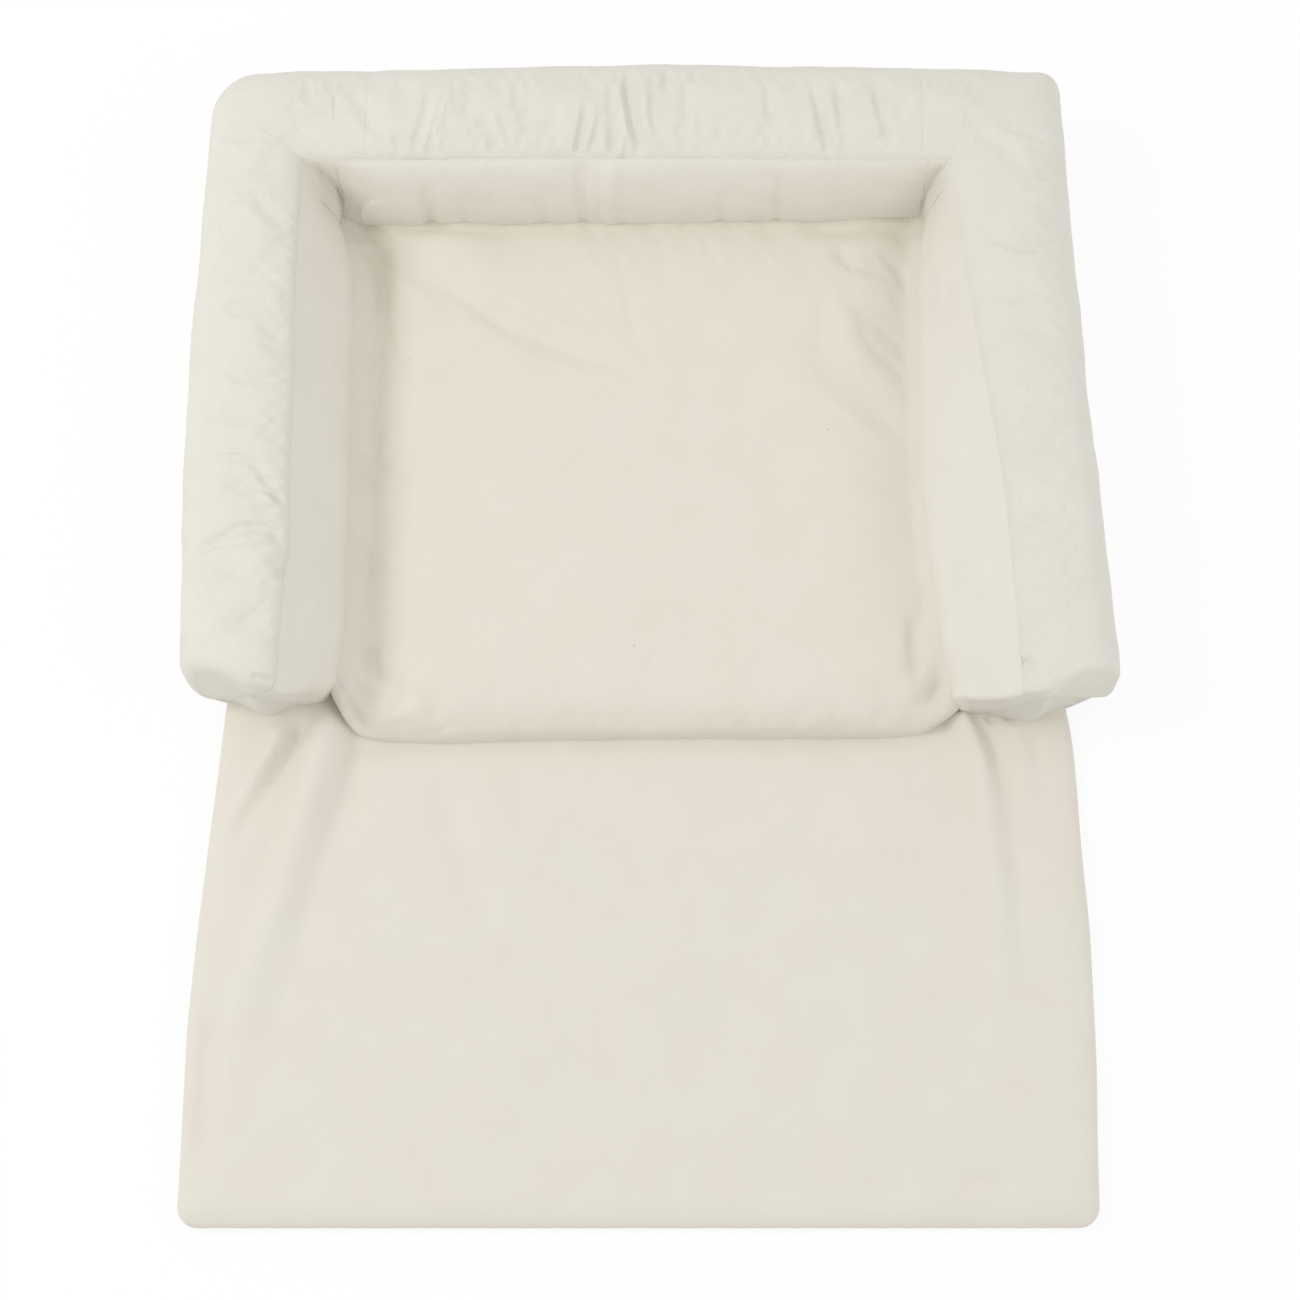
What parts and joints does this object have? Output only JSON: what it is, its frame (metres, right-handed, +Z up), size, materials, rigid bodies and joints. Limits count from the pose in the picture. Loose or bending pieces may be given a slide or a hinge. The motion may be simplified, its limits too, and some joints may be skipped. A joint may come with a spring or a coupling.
{
  "type": "infant lounger",
  "caption": "Soft infant lounger: a U-shaped stuffed bolster round a crowned pad, with a flat padded apron that folds at the open end and a zip low on the back.",
  "frame": {"origin": "on the floor, under the middle of the overall box", "axes": "+Y towards the head end, +Z up, +X to the right seen from the apron end"},
  "size_m": [0.6386, 0.8112, 0.113],
  "materials": {
    "bolster_cloth": "plain woven cotton, matt",
    "pad_cloth": "smooth cotton, matt",
    "apron_cloth": "smooth cotton, matt",
    "base_cloth": "plain woven cotton, matt",
    "stuffing": "fibre wadding",
    "zip_tape": "woven tape",
    "zip_plastic": "moulded coil",
    "zip_metal": "cream enamel"
  },
  "bodies": {
    "lounger": {"head_top_panel": "bolster_cloth", "head_back_lower_panel": "bolster_cloth", "head_inner_wall": "bolster_cloth", "left_arm_top_panel": "bolster_cloth", "right_arm_top_panel": "bolster_cloth", "left_inner_wall": "bolster_cloth", "right_inner_wall": "bolster_cloth", "left_end_cap": "bolster_cloth", "right_end_cap": "bolster_cloth", "pad_top_panel": "pad_cloth", "left_apron_tuck": "apron_cloth", "right_apron_tuck": "apron_cloth", "base_panel": "base_cloth", "head_core": "stuffing", "left_arm_core": "stuffing", "right_arm_core": "stuffing", "pad_core": "stuffing", "zip_tape_upper": "zip_tape", "zip_tape_lower": "zip_tape", "zip_chain": "zip_plastic", "zip_stop_left": "zip_metal", "zip_stop_right": "zip_metal"},
    "apron_near": {"apron_near_top": "apron_cloth", "apron_near_wadding": "stuffing", "apron_near_base": "base_cloth"},
    "apron_far": {"apron_far_top": "apron_cloth", "apron_far_wadding": "stuffing", "apron_far_base": "base_cloth"},
    "slider": {"zip_slider": "zip_metal"},
    "pull": {"zip_pull": "zip_metal"}
  },
  "joints": [
    {"name": "apron_fold", "type": "hinge", "parent": "lounger", "child": "apron_near", "pos_m": [0, -0.0906, 0.0085], "axis": [-1, 0, 0], "range_deg": [-90, 90]},
    {"name": "apron_lap", "type": "hinge", "parent": "apron_near", "child": "apron_far", "pos_m": [0, -0.2306, 0.0085], "axis": [-1, 0, 0], "range_deg": [-90, 90]},
    {"name": "zip_slide", "type": "slide", "parent": "lounger", "child": "slider", "axis": [1, 0, 0], "range_m": [0, 0.3637]},
    {"name": "zip_pull_swing", "type": "hinge", "parent": "slider", "child": "pull", "pos_m": [-0.18185, 0.4038, 0.034], "axis": [0, 0, 1], "range_deg": [0, 180]}
  ]
}
